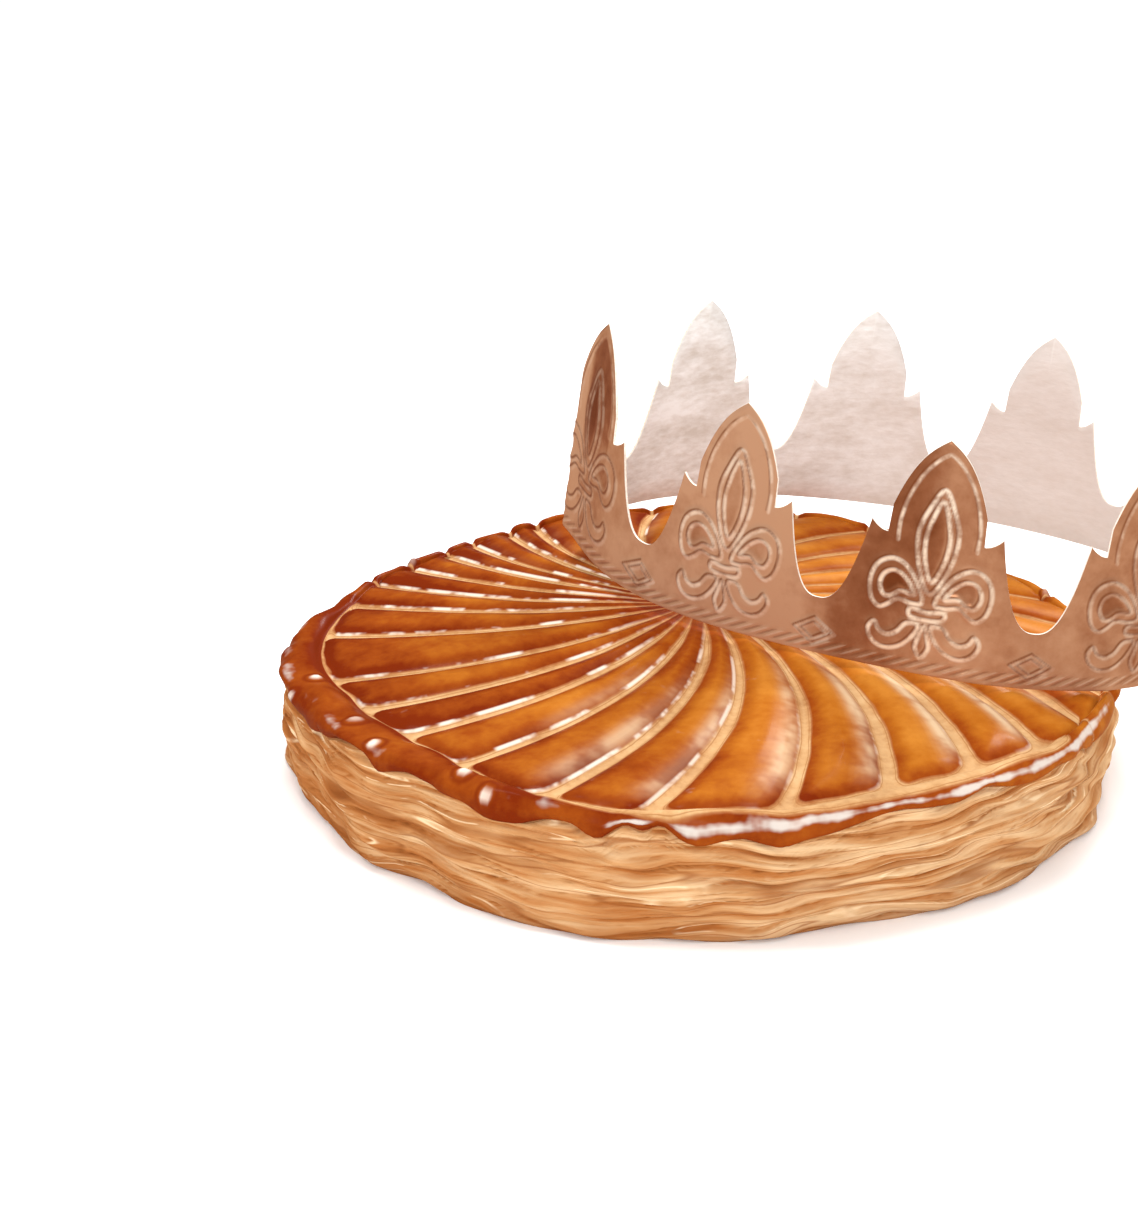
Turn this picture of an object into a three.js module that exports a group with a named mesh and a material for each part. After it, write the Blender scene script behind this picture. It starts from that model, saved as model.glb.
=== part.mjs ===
// Galette des rois: a round of puff pastry, scored in a spiral and glazed, with a
// card crown laid on it. Millimetres, +Z up. The origin is the middle of the flat
// base, -Y is the front and angles run counterclockwise from +X, seen from above.
import * as THREE from 'three';

const TAU = 2 * Math.PI;

// The round of pastry
const CAKE_RADIUS = 130;
const BASE_RADIUS = 128;
const BASE_CHAMFER = 0.8;
// The base's facets meet a little off the origin, so that one whole facet lies there
const BASE_HUB = new THREE.Vector3(6, 4, 0);
const RIM_UNDERSIDE = 31.4;
const RIM_CREST = 37.6;
const RIM_BAND = 13.5;
const RIM_ROLL = 5.5;
const DOME_TOP = 45.5;
const DOME_EDGE = 36.6;
// A hand-made round is out of true: [waves round the plan, size, angle of a crest]
const CAKE_WAVES = [[1, 1.6, 81], [2, 2.4, 80], [3, 2.4, 86], [4, 2.1, 85], [11, 0.5, 20], [17, 0.4, 3]];
const BASE_WAVES = [[1, 1.4, 200], [2, 0.4, 11], [4, 0.6, 73], [7, 0.7, 12], [12, 0.8, 5], [19, 0.5, 9]];

// Lumps of the glazed band: one to a petal, uneven from petal to petal, and a slow drift
const LUMP = 0.8;
const LUMP_UNEVEN = [0.5, 2.4];
const LUMP_DRIFT = [0.5, 1.7];
// The band from its underside to the ring score: [inset from the rim, height, how far a
// lump stands out, how far it stands up]
const BAND_ROWS = [
  [0.8, RIM_UNDERSIDE + 0.8, 0.7, -1.9],
  [-0.2, (RIM_UNDERSIDE + RIM_CREST) / 2, 0.8, -0.4],
  [RIM_ROLL, RIM_CREST - 0.5, 0, 0.9],
  [RIM_BAND - 2.2, DOME_EDGE + 0.1, -0.3, 0.2],
  [RIM_BAND - 0.8, DOME_EDGE - 1.2, 0, 0],
];

// The scored petals
// The spiral was scored by eye: its pole is off the middle and its petals vary, in degrees
const POLE = new THREE.Vector3(-2, 10, 0);
const FIRST_SCORE = 115;
const PETAL_SWEEPS = [
  5.5, 8, 6.5, 9, 9, 10, 14, 18.5, 12, 12, 12.5, 14.5, 14, 16.5, 15,
  14.5, 12, 11.5, 11, 12, 13, 13.5, 14, 13.5, 13, 12.5, 12, 11, 10.5, 9.5,
];
const SCORE_TURN = 27;
const SCORE_TURN_SWING = 10;
const SCORE_TURN_MOST_AT = 285;
const SCORE_WIDTH = 3.4;
const SCORE_DEPTH = 1.7;
const PETAL_PUFF = 1.3;
// Petals lie flatter at the pole, and over this share of their length at the rim
const PUFF_AT_POLE = 0.35;
const PUFF_AT_RIM = 0.45;
const PUFF_RISE = 0.1;
// Shares of the way across a petal where the surface has a line of points
const PETAL_STATIONS = [0.24, 0.5, 0.76];
// Shares of the way from the pole to the petals' ends where the surface has a ring of points
const PETAL_RINGS = [0.97, 0.93, 0.83, 0.71, 0.58, 0.45, 0.33, 0.22, 0.12];

// The flaky side: edges of its layers, [share of the side's height, how far it stands out]
const FLAKE_LAYERS = [
  [0.05, 0.4], [0.16, -0.6], [0.27, 1.4], [0.38, 0], [0.5, 2],
  [0.6, 0.2], [0.72, 2.2], [0.84, 0.2], [0.94, 0.6],
];
// The layers sway up and down and peel outwards: [size, [waves round the plan, change of
// phase from layer to layer] twice]
const FLAKE_SWAY = [0.55, [5, 1], [13, 2.3]];
const FLAKE_PEEL = [0.9, [23, 1.9], [9, 0.7]];
// How far the top layer stays under the glazed band
const FLAKE_TUCK = 1.8;

// The crown, of thin card
const CROWN_RADIUS = 94.5;
const CROWN_CENTRE = [71.8, 39];
const CROWN_SEAT = 41.6;
const CROWN_FALL = 5.7;
const CROWN_FALL_TOWARDS = -1;
const CROWN_WAVES = [[2, 11.3, 160], [3, 1.7, 67], [4, 2.4, 80]];
const CROWN_BOW = [3, 1.6, 23];
// The card was creased flat once: how far the old crease stands out, where, how wide
const CREASE_SIZE = 12;
const CREASE_AT = 167;
const CREASE_SPREAD = 7;
const CREASE_ROUNDING = 0.02;
// Its peaks, cut from one strip: the first and largest stands this share of the way round
const FIRST_PEAK = 0.488;
const PEAK_WIDTHS = [1.35, 1, 1, 1, 1, 1, 1, 1, 1];
const FIRST_PEAK_EXTRA = 4;
// How far the walls lean in, to their height
const CROWN_LEAN = 0.034;
const CARD = 0.8;
const CARD_GAP = 0.5;
const PEAK_HEIGHT = 71;
const NOTCH_HEIGHT = 17.2;
const HORN_HEIGHT = 44.5;
const SHOULDER_HEIGHT = 41.5;
const LEAF_HEIGHT = 50;
// Places across half a peak, as shares of the distance between two peaks
const LEAF_EDGE = 0.212;
const LEAF_FOOT = 0.218;
const HORN_TIP = 0.3;
const NOTCH = 0.5;
const HALF_PEAK = [
  0, 0.04, 0.09, 0.14, 0.18, LEAF_EDGE, LEAF_FOOT, 0.26, HORN_TIP, 0.325, 0.36, 0.4, 0.45,
];
// How pointed the leaf is (0 an arch, 1 a straight-sided gable), and how hollow the flanks are
const LEAF_POINT = 0.45;
const FLANK_HOLLOW = 2.6;

// Steps of the walk round the crown, and passes of the search for a petal share
const WALK_STEPS = 1440;
const SHARE_PASSES = 6;
// Petal shares past which a point is clear of the rim, and where the search stops
const OFF_THE_RIM = 1.2;
const FAR_OUT = 1.5;
// Half the angle over which the card's direction is measured
const FACING_STEP = 0.01;

const radians = THREE.MathUtils.degToRad;
const mix = THREE.MathUtils.lerp;

function waveSum(waves, angle) {
  const heights = waves.map(([count, size, crest]) => size * Math.cos(count * (angle - radians(crest))));
  return heights.reduce((sum, height) => sum + height, 0);
}

function cakeRadius(angle) {
  return CAKE_RADIUS + waveSum(CAKE_WAVES, angle);
}

function baseRadius(angle) {
  return BASE_RADIUS + waveSum(BASE_WAVES, angle);
}

function petalRadius(angle) {
  return cakeRadius(angle) - RIM_BAND;
}

// Height of the dome at a share of the way from the middle to the ends of the petals
function domeHeight(share) {
  return mix(DOME_TOP, DOME_EDGE, share ** 2);
}

function polar(radius, angle, height) {
  return new THREE.Vector3(radius * Math.cos(angle), radius * Math.sin(angle), height);
}

// A closed skin from the hub of the base, out over the rows and in to the top. A row is
// a function from a column to a point.
function closedSkin(rows, columns, foot, top) {
  const points = [foot, ...rows.flatMap((row) => columns.map(row)), top];
  const index = (row, column) => 1 + row * columns.length + (column % columns.length);
  const last = points.length - 1;
  const triangles = [];
  columns.forEach((_, column) => {
    triangles.push([0, index(0, column + 1), index(0, column)]);
    for (let row = 0; row < rows.length - 1; row += 1) {
      const here = index(row, column);
      const across = index(row + 1, column + 1);
      triangles.push([here, index(row, column + 1), across], [here, across, index(row + 1, column)]);
    }
    triangles.push([index(rows.length - 1, column), index(rows.length - 1, column + 1), last]);
  });
  return meshGeometry(points, triangles);
}

function meshGeometry(points, triangles) {
  const geometry = new THREE.BufferGeometry();
  geometry.setAttribute('position', new THREE.Float32BufferAttribute(points.flatMap((p) => p.toArray()), 3));
  geometry.setIndex(triangles.flat());
  geometry.computeVertexNormals();
  return geometry;
}

// Columns run from score to score: one on the score itself, one at each of its banks
// and some across the petal. Each holds its angle at the rim and its place in the petal.
function petalColumns() {
  const whole = PETAL_SWEEPS.reduce((sum, sweep) => sum + sweep, 0);
  let start = radians(FIRST_SCORE);
  return PETAL_SWEEPS.flatMap((share, petal) => {
    const sweep = share / whole * TAU;
    const bank = SCORE_WIDTH / 2 / (CAKE_RADIUS - RIM_BAND) / sweep;
    const places = [0, bank, ...PETAL_STATIONS, 1 - bank];
    const columns = places.map((place) => ({ angle: start + place * sweep, place, bank, petal }));
    start += sweep;
    return columns;
  });
}

// How far the surface stands above the dome: sunk on a score, puffed between its banks
function petalLift({ place, bank }) {
  if (place === 0) return -SCORE_DEPTH;
  const across = (place - bank) / (1 - 2 * bank);
  return PETAL_PUFF * Math.sqrt(Math.max(0, Math.sin(Math.PI * across)));
}

function scoreTurn(angle) {
  return radians(SCORE_TURN + SCORE_TURN_SWING * Math.cos(angle - radians(SCORE_TURN_MOST_AT)));
}

function petalRing(share) {
  return (column) => {
    const angle = column.angle + scoreTurn(column.angle) * (1 - share);
    const rise = mix(PUFF_AT_RIM, 1, THREE.MathUtils.smoothstep(1 - share, 0, PUFF_RISE));
    const lift = petalLift(column) * Math.min(1, PUFF_AT_POLE + share) * rise;
    const point = polar(share * petalRadius(angle), angle, domeHeight(share) + lift);
    return point.addScaledVector(POLE, 1 - share);
  };
}

// The glazed band: scalloped and lumpy, thickest opposite each petal
function bandLump({ place, petal }) {
  const [uneven, unevenPace] = LUMP_UNEVEN;
  const [drift, driftPace] = LUMP_DRIFT;
  const size = LUMP + uneven * Math.cos(unevenPace * petal);
  return size * Math.sin(Math.PI * place) + drift * Math.cos(driftPace * (petal + place));
}

function bandRow([inset, height, lumpOut, lumpUp]) {
  return (column) => {
    const lump = bandLump(column);
    return polar(cakeRadius(column.angle) - inset + lumpOut * lump, column.angle, height + lumpUp * lump);
  };
}

// One layer edge of the flaky side; neighbouring layers sway apart and peel unevenly
function flakeRow([level, out], layer) {
  const wave = (angle, [count, shift]) => Math.sin(count * angle + shift * layer);
  const [sway, ...swayWaves] = FLAKE_SWAY;
  const [peel, ...peelWaves] = FLAKE_PEEL;
  return ({ angle }) => {
    const [slow, quick] = swayWaves.map((swayWave) => wave(angle, swayWave));
    const [fine, coarse] = peelWaves.map((peelWave) => wave(angle, peelWave));
    const radius = mix(baseRadius(angle), cakeRadius(angle) - FLAKE_TUCK, level) + out;
    const up = sway * (slow + quick) * Math.sin(Math.PI * level);
    return polar(radius + peel * fine * coarse, angle, level * RIM_UNDERSIDE + up);
  };
}

function galetteGeometry() {
  const rows = [
    ({ angle }) => polar(baseRadius(angle) - BASE_CHAMFER, angle, 0),
    ...FLAKE_LAYERS.map(flakeRow),
    ...BAND_ROWS.map(bandRow),
    ...PETAL_RINGS.map(petalRing),
  ];
  const top = POLE.clone().setZ(DOME_TOP);
  return closedSkin(rows, petalColumns(), BASE_HUB, top);
}

// Top edge of the card, a share of a peak away from the middle of that peak
function cardHeight(share, extra) {
  const away = Math.abs(share);
  if (away <= LEAF_EDGE) {
    const out = away / LEAF_EDGE;
    return mix(PEAK_HEIGHT + extra, LEAF_HEIGHT, mix(out ** 3, out, LEAF_POINT));
  }
  if (away <= HORN_TIP) {
    const out = Math.max(0, away - LEAF_FOOT) / (HORN_TIP - LEAF_FOOT);
    return mix(SHOULDER_HEIGHT, HORN_HEIGHT, out ** 2);
  }
  return mix(NOTCH_HEIGHT, HORN_HEIGHT, ((NOTCH - away) / (NOTCH - HORN_TIP)) ** FLANK_HOLLOW);
}

function crownRadius(angle) {
  const off = THREE.MathUtils.euclideanModulo(angle - radians(CREASE_AT) + Math.PI, TAU) - Math.PI;
  const fade = Math.hypot(off / radians(CREASE_SPREAD), Math.sqrt(CREASE_ROUNDING));
  return CROWN_RADIUS + waveSum(CROWN_WAVES, angle) + CREASE_SIZE * Math.exp(-fade);
}

// The crown's oval, walked at an even pace: the angle after a share of the whole way
function ovalWalk() {
  const angleOf = (step) => step / WALK_STEPS * TAU;
  const at = (step) => polar(crownRadius(angleOf(step)), angleOf(step), 0);
  const lengths = [0];
  for (let step = 1; step <= WALK_STEPS; step += 1) {
    lengths.push(lengths[step - 1] + at(step).distanceTo(at(step - 1)));
  }
  return (turns) => {
    const target = (turns - Math.floor(turns)) * lengths[WALK_STEPS];
    const next = lengths.findIndex((length) => length > target);
    const part = (target - lengths[next - 1]) / (lengths[next] - lengths[next - 1]);
    return angleOf(next - 1 + part);
  };
}

// Share of the way from the pole of the spiral to the petals' ends, under a point
function petalShare(point) {
  let share = 1;
  for (let pass = 0; pass < SHARE_PASSES; pass += 1) {
    const spoke = point.clone().addScaledVector(POLE, share - 1);
    share = Math.min(FAR_OUT, Math.hypot(spoke.x, spoke.y) / petalRadius(Math.atan2(spoke.y, spoke.x)));
  }
  return share;
}

// How far above the crown's own plane its lower edge runs: it bows, and it rides up
// wherever the pastry would otherwise be in its way
function lowerEdge(point, angle, seat) {
  const bow = waveSum([CROWN_BOW], angle);
  const world = point.clone().applyMatrix4(seat);
  const share = petalShare(world);
  if (share > OFF_THE_RIM) return bow;
  const clear = domeHeight(Math.min(share, 1)) + PETAL_PUFF + CARD_GAP - world.z;
  return Math.max(bow, clear);
}

// Places round the crown: the angle, and how far it is from the middle of its own peak
function crownStations() {
  const angleAt = ovalWalk();
  const places = [...HALF_PEAK.map((share) => -share).reverse(), ...HALF_PEAK.slice(1), NOTCH];
  const whole = PEAK_WIDTHS.reduce((sum, width) => sum + width, 0);
  let middle = FIRST_PEAK;
  return PEAK_WIDTHS.flatMap((width, peak) => {
    const span = width / whole;
    const extra = peak === 0 ? FIRST_PEAK_EXTRA : 0;
    const stations = places.map((share) => ({ share, extra, angle: angleAt(middle + share * span) }));
    middle += (span + PEAK_WIDTHS[(peak + 1) % PEAK_WIDTHS.length] / whole) / 2;
    return stations;
  });
}

function crownGeometry(seat) {
  const stations = crownStations();
  const ringPoint = (angle) => polar(crownRadius(angle), angle, 0);
  const points = stations.flatMap(({ share, extra, angle }) => {
    const along = ringPoint(angle + FACING_STEP).sub(ringPoint(angle - FACING_STEP)).normalize();
    const half = new THREE.Vector3(along.y, -along.x, 0).multiplyScalar(CARD / 2);
    const height = cardHeight(share, extra);
    const foot = ringPoint(angle);
    foot.z = lowerEdge(foot, angle, seat);
    const head = polar(crownRadius(angle) - CROWN_LEAN * height, angle, foot.z + height);
    const outside = [foot.clone().add(half), head.clone().add(half)];
    const inside = [head.clone().sub(half), foot.clone().sub(half)];
    return [...outside, ...inside];
  });
  const triangles = [];
  stations.forEach((_, station) => {
    const here = 4 * station;
    const next = 4 * ((station + 1) % stations.length);
    for (let side = 0; side < 4; side += 1) {
      const up = (side + 1) % 4;
      triangles.push([here + side, next + side, next + up], [here + side, next + up, here + up]);
    }
  });
  return meshGeometry(points, triangles);
}

function makeGalette() {
  const crust = new THREE.MeshStandardMaterial({ color: 0xb5601f, roughness: 0.35, metalness: 0 });
  const galette = new THREE.Mesh(galetteGeometry(), crust);
  galette.name = 'galette';
  return galette;
}

// The crown's own frame stands at the middle of its ring, tipped over the rim of the pastry
function makeCrown() {
  const card = new THREE.MeshStandardMaterial({ color: 0xb98463, roughness: 0.4, metalness: 0.6 });
  const hinge = radians(CROWN_FALL_TOWARDS);
  const axis = new THREE.Vector3(-Math.sin(hinge), Math.cos(hinge), 0);
  const tip = new THREE.Quaternion().setFromAxisAngle(axis, radians(CROWN_FALL));
  const place = new THREE.Vector3(...CROWN_CENTRE, CROWN_SEAT);
  const seat = new THREE.Matrix4().compose(place, tip, new THREE.Vector3(1, 1, 1));
  const crown = new THREE.Mesh(crownGeometry(seat), card);
  crown.name = 'crown';
  crown.position.copy(place);
  crown.quaternion.copy(tip);
  return crown;
}

const gateau = new THREE.Group();
gateau.add(makeGalette(), makeCrown());

export default gateau;
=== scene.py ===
import math

import bpy
import numpy as np
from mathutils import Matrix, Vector, noise


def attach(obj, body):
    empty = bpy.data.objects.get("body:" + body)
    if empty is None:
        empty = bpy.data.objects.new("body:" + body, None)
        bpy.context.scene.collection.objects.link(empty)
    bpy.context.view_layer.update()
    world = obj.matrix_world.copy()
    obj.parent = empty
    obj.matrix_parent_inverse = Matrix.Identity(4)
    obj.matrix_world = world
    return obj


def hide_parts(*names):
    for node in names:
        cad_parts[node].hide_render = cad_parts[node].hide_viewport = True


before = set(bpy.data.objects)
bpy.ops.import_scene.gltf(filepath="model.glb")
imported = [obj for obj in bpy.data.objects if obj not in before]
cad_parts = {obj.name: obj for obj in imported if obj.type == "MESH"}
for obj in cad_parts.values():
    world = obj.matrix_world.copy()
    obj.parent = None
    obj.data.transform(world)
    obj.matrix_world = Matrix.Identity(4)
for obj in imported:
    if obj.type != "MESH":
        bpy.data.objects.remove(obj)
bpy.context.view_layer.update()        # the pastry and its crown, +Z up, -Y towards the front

MM = 0.001
TAU = 2 * math.pi

# ---- sizes, in millimetres

# The round of pastry
CAKE_RADIUS = 130
BASE_RADIUS = 128
RIM_UNDERSIDE = 31.4
RIM_CREST = 37.6
RIM_BAND = 13.5
RIM_ROLL = 5.5
DOME_TOP = 45.5
DOME_EDGE = 36.6
# A hand-made round is out of true: (waves round the plan, size, angle of a crest)
CAKE_WAVES = [
    (1, 1.6, 81), (2, 2.4, 80), (3, 2.4, 86), (4, 2.1, 85), (11, 0.5, 20), (17, 0.4, 3),
]
BASE_WAVES = [
    (1, 1.4, 200), (2, 0.4, 11), (4, 0.6, 73), (7, 0.7, 12), (12, 0.8, 5), (19, 0.5, 9),
]

# The scored petals: the spiral's pole, and how wide each petal is, in degrees
POLE = (-2, 10)
FIRST_SCORE = 115
PETAL_SWEEPS = [
    5.5, 8, 6.5, 9, 9, 10, 14, 18.5, 12, 12, 12.5, 14.5, 14, 16.5, 15,
    14.5, 12, 11.5, 11, 12, 13, 13.5, 14, 13.5, 13, 12.5, 12, 11, 10.5, 9.5,
]
SCORE_TURN = 27
SCORE_TURN_WAVES = [(1, 10, 285)]
SCORE_WIDTH = 3.4
# Share of that at the pole, more at the rim and more still in front: (angle, spread)
SCORE_WIDTHS = (0.55, 0.45, 0.5)
SCORE_FRONT = (285, 45)
SCORE_UNEVEN = (0.25, 2.1)
SCORE_MOST = 0.17
SCORE_DEPTH = 1.7
SCORE_FILLED = 0.8
FULL_PETAL = 9
PETAL_PUFF = 1.3
FLANK_FALL = 2.3
FLANK_WIDTH = 4.2
FLANK_WIDTH_AT_POLE = 2.0
# Dimples in the petals: (size, depth, seed)
DIMPLES = [(16, 0.35, 8), (7, 0.2, 9)]
PETAL_CORNER = 3.6
RING_SCORE = (0.5, 2.3)
RING_SCORE_WIDEST = (290, 38)
RING_WAVES = [(23, 0.45, 10), (41, 0.3, 3), (67, 0.25, 1)]

# The glazed band from its underside to the ring score:
# (inset from the rim, height, how far a lump stands out, how far it stands up)
BAND_ROWS = [
    (1.8, RIM_UNDERSIDE, 0, 0),
    (0.6, RIM_UNDERSIDE + 0.9, 0.8, -1.9),
    (-0.2, (RIM_UNDERSIDE + RIM_CREST) / 2, 0.8, -0.4),
    (1.6, RIM_CREST - 0.9, 0.5, 0.5),
    (RIM_ROLL, RIM_CREST - 0.3, 0, 1.1),
    (RIM_BAND - 4.0, DOME_EDGE + 0.5, -0.3, 0.6),
    (RIM_BAND - 1.3, DOME_EDGE - 0.8, 0, 0),
    (RIM_BAND, DOME_EDGE - 1.2, 0, 0),
]
# Stations over which the band narrows where it has less room
NARROWS_OVER = (2, 4)
# How wide the band is round the rim, by the angle in degrees
BAND_WIDTHS = {
    150: 3.5, 165: 6, 177: 9.5, 187: 12.5, 207: 14.5, 218: 15, 230: 11.5, 237: 9, 246: 6.4,
    262: 5.4, 272: 7, 288: 9.5, 303: 9, 315: 8, 322: 5.5, 330: 3.5,
}
RING_STARTS = (4.2, 6.0)
RIM_NOTCH = (1.2, 1.7)
# How far the rim stands out beyond the waves of the plan, by the angle
RIM_OUT = {
    0: -3.3, 20: -3, 40: -2.4, 60: -1, 90: -1, 105: -1.8, 125: -2.5, 138: -4, 163: -4, 172: -3,
    178: -1.4, 184: 0, 192: 0.6, 200: 0, 318: 0, 330: -1.6, 340: -3.3,
}
# Height of the glaze's scalloped lower edge round the rim, by the angle
GLAZE_FOOT = {
    0: 31, 14: 32.5, 27: 30, 41: 32, 58: 30.5, 73: 32.5, 90: 30, 104: 32.3, 121: 30.4, 136: 32.6,
    150: 30.8, 164: 33, 180: 31.5, 192: 34.5, 198: 32, 202: 32.5, 205: 29.5, 209: 30.5, 213: 34,
    217: 35.2, 220: 33.5, 222: 31.4, 225: 34, 228: 35.4, 230.5: 34.4, 233: 32.8, 237: 33.4, 241: 30.6,
    245: 29.6, 248.5: 32.4, 251.5: 32.6, 254.5: 28, 258: 34.2, 260: 31.3, 262: 34.5, 265: 30, 267: 29.4,
    269: 31.6, 272: 32.4, 276.5: 27.6, 279.5: 31, 284: 33, 289: 34.8, 293: 34.4, 300: 33.6, 304: 34.8,
    308: 32.4, 316: 32, 322: 31.2, 324.5: 32.6, 328: 29.4, 334: 30, 342: 32.4, 350: 30, 360: 31,
}
# Low-hanging glaze bulges: (height under which, fall over which that sets in, bulge)
GLAZE_BULGE = (34, 4, 0.9)
LUMPS_ON_BAND = [(9.5, 0.9), (5, 0.2)]
LUMPS_AT_BACK = 0.45
# Blisters in the glaze of the band: (angle, station of the band, radius, strength of its painted glint)
BLISTERS = [
    (20, 3.8, 3, 0.2), (108, 3.8, 3, 0.2), (143, 4.2, 3.2, 0.2), (195.5, 4.6, 3.6, 0.8),
    (198, 2.2, 2.6, 0.7), (212, 4.4, 4.4, 0.4), (220, 3.4, 3.8, 0.8), (235.7, 4.2, 3.6, 0.85),
    (240.5, 2.6, 3.2, 0.8),
]
BLISTER_HEIGHT = 0.9
# Painted glare along the band: the station where it runs, the spread of that, and its strength, by the
# angle
GLARE_STATIONS = {250: 2.9, 256: 2, 272: 2.1, 276: 2.6, 293: 2.5, 305: 2.4, 330: 2.7, 360: 2.9}
GLARE_SPREAD = 0.55
GLARE = {
    180: 0.4, 215: 0.3, 250: 0.3, 254.5: 0.4, 257: 1.1, 260.5: 1.1, 262.3: 0.4,
    264: 1.2, 270.5: 1.2, 273: 0.35, 276: 1, 294: 1, 296: 0.6, 299: 0.95, 333: 0.95, 342: 0.5, 360: 0.4,
}
# Painted highlights on the petals, a sheen: its middle and spread across a petal, and its strength by
# the angle
SHEEN_PLACE = (0.79, 0.12)
SHEEN = {
    0: 0.3, 90: 0.1, 150: 0, 235: 0, 245: 0.4, 255: 0.75, 263: 0.7, 271: 0.7, 280: 0.8, 296: 1,
    310: 1.15, 322: 1.1, 332: 0.7, 360: 0.3,
}
# How strong the painted highlights on the petals' lips are, by the angle
LIT_LIPS = {250: 1, 262: 0.6, 270: 0.3, 328: 0.3, 345: 1}
# How far the band's upper edge is left unglazed, by the angle
UNGLAZED = {
    150: 0, 165: -0.8, 228: -0.8, 236: 0.2, 244: 1.3, 250: 1.7, 256: 2.2, 259: 3.2, 262: 4,
    266: 2.9, 270: 2.7, 276: 3.4, 283: 4.8, 292: 5, 302: 4.6, 318: 3.2, 326: 1.6, 332: 0.3, 338: 0,
}
# Millimetres to a station from the band's lower and upper edge, and the bare ring there
GLAZE_A_STATION = (1.4, 2.4)
BARE_RING = 1.3
# How far the foot of the side comes out beyond the base's plain outline, by the angle
FOOT_OUT = {
    0: -1.6, 60: -1, 160: -1, 180: 0.5, 196: -1, 212: -3.6, 221: -1.4, 230: -3.2, 237: -0.6, 242: 1.2,
    254: 3, 262: 0.4, 272: -0.5, 279: -2.6, 291: -1.8, 299: 0.8, 309: -2, 317: -1.6, 326: -2.4,
    350: -2.4, 360: -1.6,
}
FOOT_FADE = 1.5
# The lump of each petal on the band: its size, and two (amount, pace from petal to petal)
LUMP = 0.8
LUMP_UNEVEN = (0.5, 2.4)
LUMP_DRIFT = (0.5, 1.7)
# The side given painted shade, darkest at this angle in degrees
BAKED_DARKER_AT = 165

# The flaky side: how far the edges of its main layers stand out, by their share of the height
FLAKE_LAYERS = {
    0: -0.8, 0.05: 0.4, 0.16: -0.6, 0.27: 1.4, 0.38: 0, 0.5: 2, 0.6: 0.2, 0.72: 2.2, 0.84: 0.2,
    0.94: 0.6, 1: 0,
}
# Their sway up and down, and how they peel away: amount, two (waves round, turn a layer)
FLAKE_SWAY = (0.55, (5, 1), (13, 2.3))
FLAKE_PEEL = (0.9, (23, 1.9), (9, 0.7))
FLAKE_TUCK = 1.8
# Share of the height from which they rise to the glaze's foot
LAYERS_RISE_FROM = 0.55
# Their leaves: (size of a wave, leaves up or down, seed), and for the thick and thin ones
# (how many to a thick one, weight, wander, size of their lumps, seed)
LEAF_THICKNESS = 4.4
LEAF_WANDER = [(52, 1.0, 1), (19, 0.5, 2)]
LEAF_SETS = [(1, 1.0, 0, 30, 3), (2.7, 0.45, 0.45, 13, 5)]
LEAF_STANDS_OUT = 0.9
LEAF_ROUNDING = 0.4
LEAF_GAP = 1.2
# Shares of the height over which the leaves ease in at the foot and out at the top
LEAVES_EASE = (0.05, 0.04)

# The crown
CROWN_RADIUS = 94.5
CROWN_CENTRE = (71.8, 39)
CROWN_SEAT = 41.6
CROWN_FALL = 5.7
CROWN_FALL_TOWARDS = -1
CROWN_WAVES = [(2, 11.3, 160), (3, 1.7, 67), (4, 2.4, 80)]
CROWN_BOW = [(3, 1.6, 23)]
CREASE_SIZE = 12
CREASE_AT = 167
CREASE_SPREAD = 7
CREASE_ROUNDING = 0.02
FIRST_PEAK = 0.488
PEAK_WIDTHS = [1.35] + [1] * 8
FIRST_PEAK_EXTRA = 4
CROWN_LEAN = 0.034
CARD = 0.8
CARD_GAP = 0.5
# A peak's outline: heights, then places in shares of its width from its middle
PEAK_HEIGHT = 71
NOTCH_HEIGHT = 17.2
HORN_HEIGHT = 44.5
SHOULDER_HEIGHT = 41.5
LEAF_HEIGHT = 50
LEAF_EDGE = 0.212
LEAF_FOOT = 0.218
HORN_TIP = 0.3
NOTCH = 0.5
LEAF_POINT = 0.45
FLANK_HOLLOW = 2.6
OFF_THE_RIM = 1.2

# ---- arithmetic on arrays

# A distance, in millimetres or radii, at which no line, blister or glaze shows
FAR = 9.0
# The glaze's distance on the bare base
BARE = -6.0
# Turns to both sides, in radians, over which the corners of a table are rounded off
TABLE_ROUNDING = 0.012
BAND_ROUNDING = 0.07


def wave_sum(waves, angle):
    return sum(size * np.cos(count * (angle - math.radians(crest))) for count, size, crest in waves)


def smooth(value, low, high):
    t = np.clip((value - low) / (high - low), 0, 1)
    return t * t * (3 - 2 * t)


def bell(away, spread):
    return np.exp(-(away / spread) ** 2)


def mix(a, b, share):
    return a + (b - a) * share


def lumps(points, size, seed):
    """Soft random lumps of about that size, from -1 to 1, one value a point, in millimetres."""
    shift = Vector((17.3 * seed, -9.1 * seed, 5.7 * seed))
    return np.array([noise.noise(Vector(p) / size + shift) for p in points.tolist()])


def polar(radius, angle):
    return radius * np.cos(angle), radius * np.sin(angle)


def cake_radius(angle):
    return CAKE_RADIUS + wave_sum(CAKE_WAVES, angle) + round_table(RIM_OUT, angle)


def base_radius(angle):
    return BASE_RADIUS + wave_sum(BASE_WAVES, angle)


def smooth_line(points, at, closed=False):
    """Points of a smooth line through the given ones, whose numbers at runs over from 0 up."""
    points = np.array(points, dtype=float)
    count = len(points)
    here = np.clip(np.floor(at).astype(int), 0, count - (1 if closed else 2))
    part = (at - here)[:, None]
    near = (here + k for k in (-1, 0, 1, 2))
    a, b, c, d = (points[k % count if closed else np.clip(k, 0, count - 1)] for k in near)
    return 0.5 * (2 * b + (c - a) * part + (2 * a - 5 * b + 4 * c - d) * part ** 2
                  + (3 * b - 3 * c + d - a) * part ** 3)


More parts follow.
